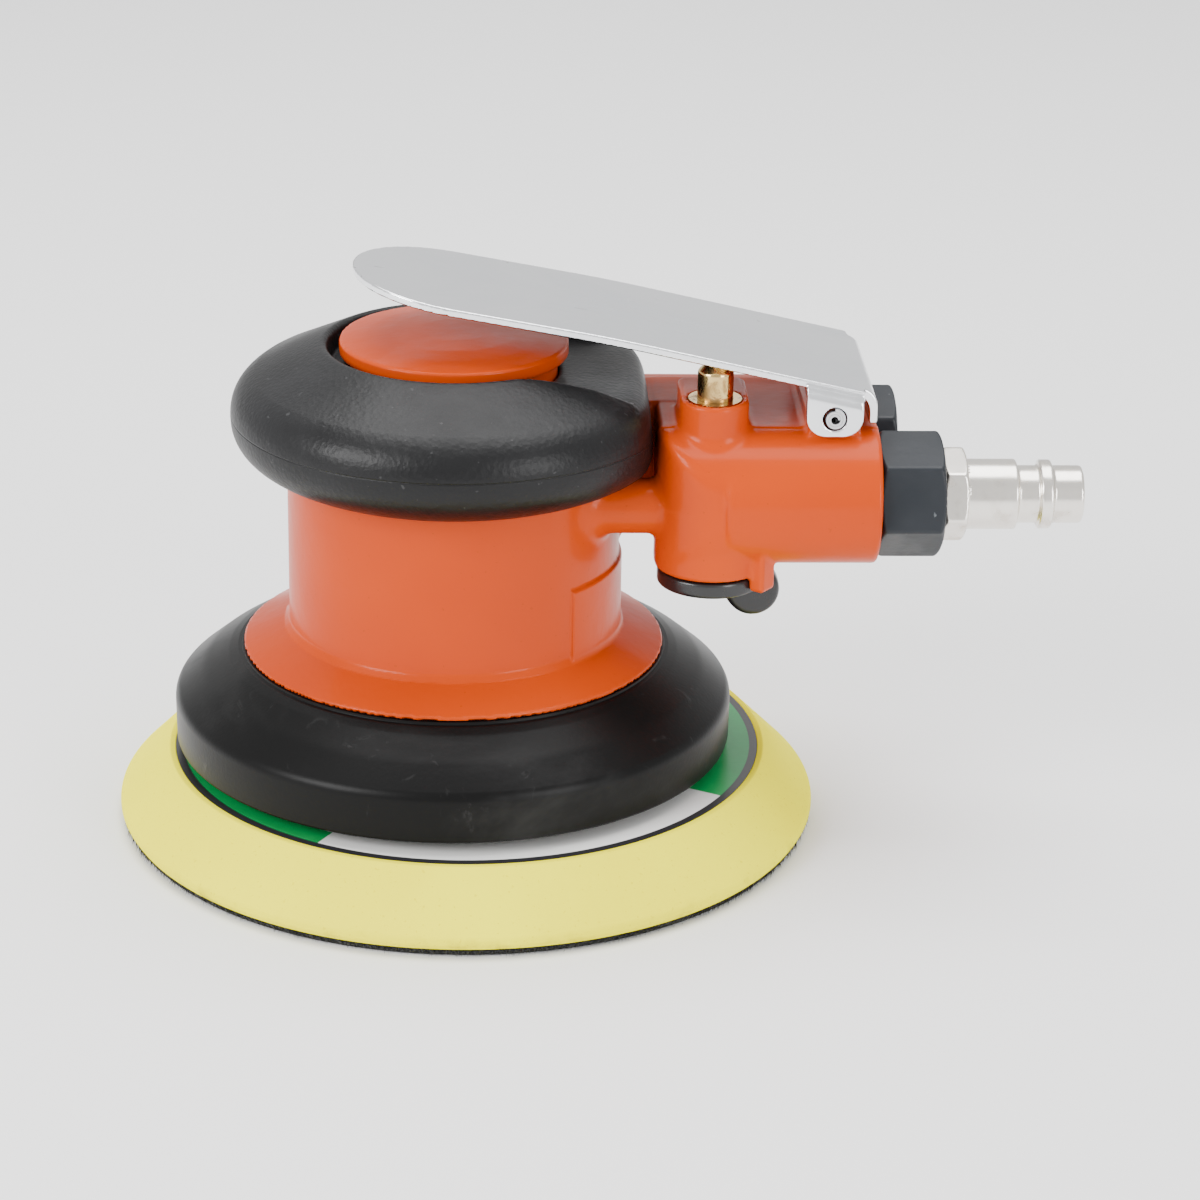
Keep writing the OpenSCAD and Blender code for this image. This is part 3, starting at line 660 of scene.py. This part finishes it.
def make_shroud():
    """An upright wall, a nearly straight cone and a thin lip under the flange."""
    wall_top = 23.6
    shroud = lathe("shroud_skirt", outline([
        (shroud_r - 2.8, shroud_low, 0.4), (shroud_r - 0.1, shroud_low, 0.7), (shroud_r, wall_top, 2.6),
        (44.4, 28, 14), (40, 30.8, 6), (38.4, 31.6, 0.35), (37.7, 31.7, 0.15), (37.6, shroud_high),
        (33.25, shroud_high), (33.25, 28.05), (40, 28.05, 1.0), (44.4, 25.3, 2.0),
        (shroud_r - 3.1, 22.6, 1.0)], steps=8), segments=240)
    finish_piece(shroud, "shroud")


# ---- Motor housing ----

def housing_outline():
    dome = [(r, cap_top - (r / cap_r) ** 2 * cap_rise) for r in (0, 6, 11, 15)]
    rim = cap_top - cap_rise
    return outline([*dome, (cap_r, rim, 0.5), (cap_r, rim - 2.6, 0.6), (cap_r - 1.9, rim - 2.6, 0.3),
                    (cap_r - 1.9, shoulder, 0.3), (barrel_r, shoulder, 0.8), (barrel_r, 37.2, 0.8),
                    (barrel_r + 1.0, 36.1, 0.6), (flange_r, 32.9, 0.3), (flange_r, flange_low, 0.2),
                    (33.2, flange_low), (33.2, 28.0), (34.8, 28.0), (34.8, housing_low),
                    (bore_r + 1.5, housing_low), (bore_r + 1.5, motor_low),
                    (bore_r, motor_low), (bore_r, roof), (0, roof)], steps=5)


HOUSING_OUTLINE = housing_outline()


def valve_block_field(x, y, z):
    """Inlet and exhaust barrels, joined by a flat-topped block."""
    left = grip_flat + 0.3
    nose_r = 10.9
    up = z - block_z
    end = x - block_end
    nose = np.hypot(x - left - nose_r, y - valve_y) - nose_r
    inlet = smax(np.hypot(y - valve_y, up) - block_r, smin(nose, left + nose_r - x, 1.0), 1.4)
    middle_part = smax(box_field(y, up, block_y, block_r, 0.2), left - x, 1.2)
    exhaust = smax(np.hypot(y - block_y, up) - block_r, 20 - x, 0.5)
    duct = smax(box_field(y - block_y / 2, up, block_y / 2, block_r, 0.6), between(x, 20, 40), 0.5)
    body = smin(smin(inlet, middle_part, 0.6), smin(exhaust, duct, 0.6), 0.6)
    return smax(body, end, 0.9)


def boss_field(x, y, z):
    """Valve boss below, the stem's boss above and the stop for the regulator's paddle."""
    dx, dy = x - valve_x, y - valve_y
    lower = smax(np.hypot(dx, dy) - 9.8, between(z, 51.8, 64), 0.7)
    round_front = np.hypot(dx, dy) - 5.85
    square_back = box_field(dx, dy - 5.75, 5.85, 5.75, 1.6)
    upper = smax(np.minimum(round_front, square_back), between(z, block_z, boss_top), 0.9)
    a = math.radians(-37)
    out, side = dx * math.cos(a) + dy * math.sin(a), dy * math.cos(a) - dx * math.sin(a)
    stop = smax(box_field(out - 10.6, side, 1.5, 2.0, 0.6), between(z, 49.4, 57.4), 0.8)
    return lower, upper, stop


def housing_field(p):
    x, y, z = p.T
    r = np.hypot(x, y)
    d = polygon_field(r, z, HOUSING_OUTLINE)
    panel = np.maximum(smax(r - barrel_r - 0.6, between(z, 30, 49.5), 0.5),
                       (np.abs(np.arctan2(y, x)) - math.radians(46)) * barrel_r)
    d = smin(d, np.maximum(panel, bore_r + 1 - r), 0.5)
    block = valve_block_field(x, y, z)
    lower, upper, stop = boss_field(x, y, z)
    block = smin(smin(block, lower, 1.0), upper, 1.6)
    block = smin(block, stop, 0.8)
    web = box_field(x - pin_x, z - 73.5, 4.25, 5.5, 0.5)
    ridge = smin(np.hypot(x - pin_x, z - pin_z) - 3.6, web, 1.5)
    ridge = smax(ridge, np.abs(y) - 16.8, 0.8)
    block = smin(block, ridge, 1.2)
    neck = smax(np.hypot(y - valve_y, z - neck_z) - 4.8, between(x, 22, valve_x - 5), 0.5)
    d = smin(d, smin(block, neck, 1.6), 2.6)
    inside = smax(r - bore_r, between(z, motor_low, roof), 0.2)
    thread = np.maximum(r - bore_r - 1.5, z - motor_low)
    d = smax(d, -np.minimum(inside, thread), 0.25)
    dx, dy = x - valve_x, y - valve_y
    bores = [
        smax(np.hypot(dx, dy) - 4.6, 72 - z, 0.2),
        np.maximum(np.hypot(dx, dy) - 5.5, between(z, 60, 73.2)),
        np.maximum(np.hypot(dx, dy) - 7, between(z, 57, 60.8)),
        np.maximum(np.hypot(dx, dy) - 8, z - 58.2),
        np.maximum(np.hypot(dx, dy) - 8.6, between(z, 55, 55.9)),
        np.maximum(np.hypot(dy, z - block_z) - 8, 57 - x),
        np.maximum(np.hypot(dy, z - block_z) - 9.7, block_end - 1.6 - x),
        np.maximum(np.hypot(dy, z - neck_z) - 2.8, between(x, 18, valve_x)),
        np.maximum(np.hypot(y - block_y, z - block_z) - 9, between(x, 18, 62)),
        np.maximum(np.hypot(y - block_y, z - block_z) - 8, 61 - x),
        np.hypot(x - pin_x, z - pin_z) - 2.0,
    ]
    for bore in bores:
        d = smax(d, -bore, 0.3)
    return d


def make_housing():
    low, high = span("motor_housing")
    body = solid("housing_casting", housing_field, low, high, 0.6)
    finish_piece(body, "motor_housing")


# ---- Grip ----

def grip_outline():
    """A full round below, a cone up to the cap's hole above."""
    mid_r, mid_z, rz, power = 22, 75, 10, 2 / 2.3
    turn = np.radians(np.arange(-64, 45, 2))
    skin_r = mid_r + (grip_r - mid_r) * np.cos(turn) ** power
    skin_z = mid_z + rz * np.sign(turn) * np.abs(np.sin(turn)) ** power
    skin = list(zip(skin_r, skin_z))
    hole = outline([skin[-1], (22.2, grip_top + 0.05, 0.9), (hole_r, hole_floor, 0.6),
                    (cap_r - 1.8, hole_floor, 0.3), (cap_r - 1.8, shoulder + 0.06),
                    (barrel_r + 0.06, shoulder + 0.06), (barrel_r + 0.06, 65.6)])
    return skin[:-1] + hole


GRIP_OUTLINE = grip_outline()


def grip_field(p):
    x, y, z = p.T
    d = polygon_field(np.hypot(x, y), z, GRIP_OUTLINE)
    # way out for the lever: it narrows, and its floor falls towards the inlet
    wall = np.abs(y) - np.interp(x, (0, 5, 24, 60), (hole_r, 20.8, 16.3, 15.5))
    floor = hole_floor - 0.052 * np.maximum(x, 0)
    d = smax(d, -np.maximum(wall, np.maximum(floor - z, -x)), 1.3)
    # the end at the valve block leans back above mid-height
    lean_angle, lean_z = math.radians(9), 72
    lean = (x - grip_flat) * math.cos(lean_angle) + (z - lean_z) * math.sin(lean_angle)
    d = smax(d, smax(x - grip_flat, lean, 2.0), 3.2)
    up = z - block_z
    duct = np.hypot(y - block_y, up) - block_r - 0.3
    duct = np.minimum(duct, box_field(y - 6.6, z - 58.5, 6.9, 18.6, 0.3))
    duct = np.minimum(duct, box_field(y - 19.15, z - 52.4, 6.65, 12.4, 0.3))
    neck = np.hypot(y - valve_y, z - neck_z) - 5.2
    neck = np.minimum(neck, box_field(y - valve_y, z - 55, 5.2, 7.5, 0.1))
    notch = np.maximum(np.minimum(duct, neck), 14 - x)
    return smax(d, -notch, 0.8)


def make_grip():
    low, high = span("grip")
    body = solid("grip_cover", grip_field, low, high, 0.6)
    finish_piece(body, "grip")


# ---- Lever ----

SHEET = 1.4
REAR_SLOPE, FRONT_SLOPE = math.radians(12.5), math.radians(10.2)
BEND_X = 27.0
UNDER_PIN = 4.07


def plate_height(x, z):
    """Height above the plate's underside, square to it."""
    at_pin = pin_z + UNDER_PIN / math.cos(REAR_SLOPE)
    bend_z = at_pin + (pin_x - BEND_X) * math.tan(REAR_SLOPE)
    rear = bend_z + (BEND_X - x) * math.tan(REAR_SLOPE)
    front = bend_z + (BEND_X - x) * math.tan(FRONT_SLOPE)
    return (z - smin(rear, front, 0.3)) * math.cos(0.5 * (REAR_SLOPE + FRONT_SLOPE))


def lever_field(p):
    x, y, z = p.T
    end = lever_high[0]
    half_w = 17.3
    ear_out = lever_high[1]
    side = np.abs(y)
    tip_x = lever_low[0] + half_w
    height = plate_height(x, z)
    # plate and folded end, as a bent sheet
    outer = smax(height - SHEET, x - end, 3.0)
    sheet = np.maximum(outer, -(outer + SHEET))
    plan = np.where(x < tip_x, np.hypot(x - tip_x, y), side) - half_w
    plan = np.where(x > pin_x + 5.2, side - 15.2, plan)
    sheet = smax(smax(sheet, plan, 0.35), pin_z - 1.9 - z, 0.35)
    # ears, as a bent sheet across the plate
    bend = 3.2
    qy, qz = side - ear_out + bend, height - SHEET + bend
    across = np.hypot(np.maximum(qy, 0), np.maximum(qz, 0)) + np.minimum(np.maximum(qy, qz), 0) - bend
    ear = np.maximum(across, -(across + SHEET))
    shape = box_field(x - pin_x, z - pin_z - 6.7, 4.9, 10.0, 3.4)
    ear = smax(ear, shape, 0.35)
    ear = smax(ear, 14.0 - side, 0.3)
    d = smin(sheet, ear, 0.25)
    return smax(d, -(np.hypot(x - pin_x, z - pin_z) - 2.06), 0.2)


def make_lever():
    body = solid("lever_plate", lever_field, lever_low, lever_high, 0.36)
    finish_piece(body, "throttle_lever")


def make_pin():
    """A coiled spring pin: a strip wound two and a quarter turns."""
    steps = 72 // FINE
    turns = 2.25
    strip = 0.42
    a = np.linspace(0, turns * 2 * math.pi, steps)
    outer_r = 2.0 - 0.47 * (1 - a / a[-1]) * turns
    ring = []
    for radius in (outer_r, outer_r - strip):
        ring.append(np.stack((pin_x + radius * np.cos(a), pin_z + radius * np.sin(a)), 1))
    loop = np.concatenate((ring[0], ring[1][::-1]))
    n = len(loop)
    half = pin_len / 2
    chamfer = 0.25
    sections = [(-half, 0.93), (-half + chamfer, 1.0), (half - chamfer, 1.0), (half, 0.93)]
    centre = np.array((pin_x, pin_z))
    vertices = []
    for y, scale in sections:
        flat = centre + (loop - centre) * scale
        vertices.append(np.stack((flat[:, 0], np.full(n, y), flat[:, 1]), 1))
    faces = []
    for s in range(len(sections) - 1):
        for i in range(n):
            j = (i + 1) % n
            faces.append((s * n + i, s * n + j, (s + 1) * n + j, (s + 1) * n + i))
    last = (len(sections) - 1) * n
    for i in range(steps - 1):
        faces.append((i + 1, i, 2 * steps - 1 - i, 2 * steps - 2 - i))
        faces.append((last + i, last + i + 1, last + 2 * steps - 2 - i, last + 2 * steps - 1 - i))
    pin = sharpen(mesh_object("coiled_pin", np.concatenate(vertices), faces))
    finish_piece(pin, "lever_pin")


# ---- Air fittings ----

def nut_field(x, y, z, x0, x1, across_flats, turn):
    """A hexagonal head with both ends turned to a cone."""
    prism = smax(hex_field(y, z, across_flats, turn), between(x, x0, x1), 0.3)
    radius = np.hypot(y, z)
    edge = across_flats / 2 + 0.2
    cone = np.maximum(radius - edge - (x - x0) * 1.73, radius - edge - (x1 - x) * 1.73) / 2
    return smax(prism, cone, 0.4)


HEX_TURN = 60 - 13


def bushing_field(p):
    x, y, z = p[:, 0], p[:, 1] - valve_y, p[:, 2] - block_z
    radius = np.hypot(y, z)
    body = nut_field(x, y, z, block_end, hex_end, 19.2, HEX_TURN)
    body = np.minimum(body, smax(radius - 8, between(x, block_end - 13, block_end + 1), 0.6))
    hole = np.minimum(radius - 5, np.maximum(radius - 6.6, block_end - 0.2 - x))
    return smax(body, -hole, 0.4)


def muffler_field(p):
    x, y, z = p[:, 0], p[:, 1] - block_y, p[:, 2] - block_z
    radius = np.hypot(y, z)
    body = nut_field(x, y, z, block_end, muffler_end, 18, HEX_TURN)
    body = np.minimum(body, smax(radius - 8, between(x, block_end - 11, block_end + 1), 0.6))
    return smax(body, -(radius - 6), 0.5)


def plug_field(p):
    x, y, z = p[:, 0] - hex_end, p[:, 1] - valve_y, p[:, 2] - block_z
    radius = np.hypot(y, z)
    body = polygon_field(radius, x, PLUG_OUTLINE)
    body = np.minimum(body, nut_field(x, y, z, 0.0, 4.2, 14.3, HEX_TURN))
    return smax(body, -(radius - 3.6), 0.5)


PLUG_OUTLINE = outline([
    (0, screen_face - hex_end), (6.6, screen_face - hex_end, 0.4), (6.6, 0), (6.1, 0), (6.1, 12.9, 0.4),
    (5, 13.1, 0.4), (5, 16.7, 0.4), (6, 16.9, 0.5), (6, 19.0, 0.5), (5, 19.2, 0.4),
    (5, plug_end - hex_end, 0.6), (0, plug_end - hex_end)], steps=4)


def make_fittings():
    for name, field, node, step in (("inlet_hex", bushing_field, "inlet_bushing", 0.36),
                                    ("muffler_hex", muffler_field, "exhaust_muffler", 0.36),
                                    ("air_plug", plug_field, "quick_plug", 0.3)):
        low, high = span(node)
        finish_piece(solid(name, field, low, high, step), node)


# ---- Valve ----

def make_stem():
    low, high = span("valve_stem")
    r = 3.1
    seat = low[2] + 2.2
    stem = lathe("stem_rod", outline([
        (0, low[2]), (4.4, low[2], 0.3), (4.4, seat, 0.2), (2, seat), (2, 66), (r, 66, 0.4),
        (r, high[2] - 1.4, 0.8), (1.7, high[2] - 0.05, 0.8), (0, high[2])]),
        (valve_x, valve_y, 0), segments=96)
    finish_piece(stem, "valve_stem")


def make_valve_spring():
    """A coil spring of round wire, about the valve's axis."""
    low, high = span("valve_spring")
    wire_r, turns, steps, sides = 0.35, 4, 32, 12
    coil_r = (high[0] - low[0]) / 2 - wire_r
    length = high[2] - low[2]
    count = turns * steps
    along = np.repeat(np.arange(count + 1), sides)
    around = np.tile(np.arange(sides), count + 1) * 2 * math.pi / sides
    angle = along * 2 * math.pi / steps
    radius = coil_r + wire_r * np.cos(around)
    height = low[2] + wire_r + (length - 2 * wire_r) * along / count + wire_r * np.sin(around)
    vertices = np.stack((valve_x + radius * np.cos(angle), valve_y + radius * np.sin(angle), height), 1)
    faces = []
    for i in range(count):
        for k in range(sides):
            here, there, step_on = i * sides, (i + 1) * sides, (k + 1) % sides
            faces.append((here + k, there + k, there + step_on, here + step_on))
    faces += [tuple(range(sides)), tuple(count * sides + k for k in reversed(range(sides)))]
    spring = sharpen(mesh_object("coil_spring", vertices, faces))
    finish_piece(spring, "valve_spring")
    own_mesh(spring)


def regulator_field(p):
    x, y, z = p[:, 0] - valve_x, p[:, 1] - valve_y, p[:, 2]
    radius = np.hypot(x, y)
    sleeve = smax(radius - 7.94, between(z, 49, 57.9), 0.3)
    sleeve = np.maximum(sleeve, -np.maximum(7.1 - radius, between(z, 55.05, 55.85)))
    sleeve = np.maximum(sleeve, -np.maximum(6.9 - radius, between(z, 52.3, 53.9)))
    head = smax(radius - 9.3, between(z, 48.6, 51.5), 0.8)
    disc = np.hypot(x - 7.4, z - 47.5) - 4.7
    arm = box_field(x - 1.0, z - 50.05, 6.0, 1.45, 0.6)
    paddle = smax(smin(disc, arm, 4.5), np.abs(y) - 2.5, 1.6)
    clear = np.maximum(radius - 10.1, 51.5 - z)
    paddle = smax(paddle, -clear, 0.4)
    body = np.minimum(sleeve, smin(head, paddle, 0.8))
    cup = np.maximum(radius - 5.6, 49.8 - z)
    window = np.maximum(np.maximum(np.abs(y) - 3, 56 - z), -x)
    return smax(body, -np.minimum(cup, window), 0.3)


def make_regulator():
    low, high = span("regulator")
    finish_piece(solid("regulator_paddle", regulator_field, low, high, 0.3), "regulator")


make_pad()
make_hook_pile()
make_shroud()
make_housing()
make_grip()
make_lever()
make_pin()
make_fittings()
make_stem()
make_valve_spring()
make_regulator()


# ---- Floor, light and camera ----

def make_floor():
    p = Paint("floor", rough=0.7)
    p.color(p.mix(p.noise(3, 3), (0.86, 0.86, 0.86), (0.88, 0.88, 0.88)))
    mesh = bpy.data.meshes.new("floor")
    size = 4.0
    corners = [(-size, -size, 0), (size, -size, 0), (size, size, 0), (-size, size, 0)]
    mesh.from_pydata(corners, [], [(0, 1, 2, 3)])
    floor = bpy.data.objects.new("floor", mesh)
    bpy.context.scene.collection.objects.link(floor)
    mesh.materials.append(p.mat)


def soft_light(name, place, target, size, power):
    data = bpy.data.lights.new(name, "AREA")
    data.shape = "RECTANGLE"
    data.size, data.size_y = size
    data.energy = power
    lamp = bpy.data.objects.new(name, data)
    bpy.context.scene.collection.objects.link(lamp)
    lamp.location = place
    lamp.rotation_euler = (Vector(target) - Vector(place)).to_track_quat("-Z", "Y").to_euler()


def make_stage():
    make_floor()
    world = bpy.data.worlds.new("studio")
    bpy.context.scene.world = world
    world.use_nodes = True
    world.node_tree.nodes["Background"].inputs["Color"].default_value = (1, 1, 1, 1)
    world.node_tree.nodes["Background"].inputs["Strength"].default_value = 1.1
    soft_light("overhead", (0.05, 0.15, 0.9), (0.03, 0, 0.05), (0.9, 0.7), 12)
    soft_light("left_front", (-0.75, -0.55, 0.55), (0, 0, 0.05), (0.5, 0.5), 12)
    soft_light("right_front", (0.7, -0.8, 0.35), (0.03, 0, 0.05), (0.35, 0.6), 6)


def make_camera():
    """Looks down at the sander from its valve side, from a little to the left."""
    tilt, swing, roll = math.radians(22), math.radians(-2.5), math.radians(1.0)
    distance = 0.65
    target = Vector((0.0261, 0, 0.0394))
    away = Vector((math.sin(swing) * math.cos(tilt), -math.cos(swing) * math.cos(tilt), math.sin(tilt)))
    data = bpy.data.cameras.new("camera")
    data.sensor_width = 36
    data.lens = 109.2
    camera = bpy.data.objects.new("camera", data)
    bpy.context.scene.collection.objects.link(camera)
    camera.location = target + away * distance
    camera.rotation_mode = "QUATERNION"
    camera.rotation_quaternion = (-away).to_track_quat("-Z", "Y") @ Quaternion((0, 0, 1), roll)
    bpy.context.scene.camera = camera


make_stage()
make_camera()
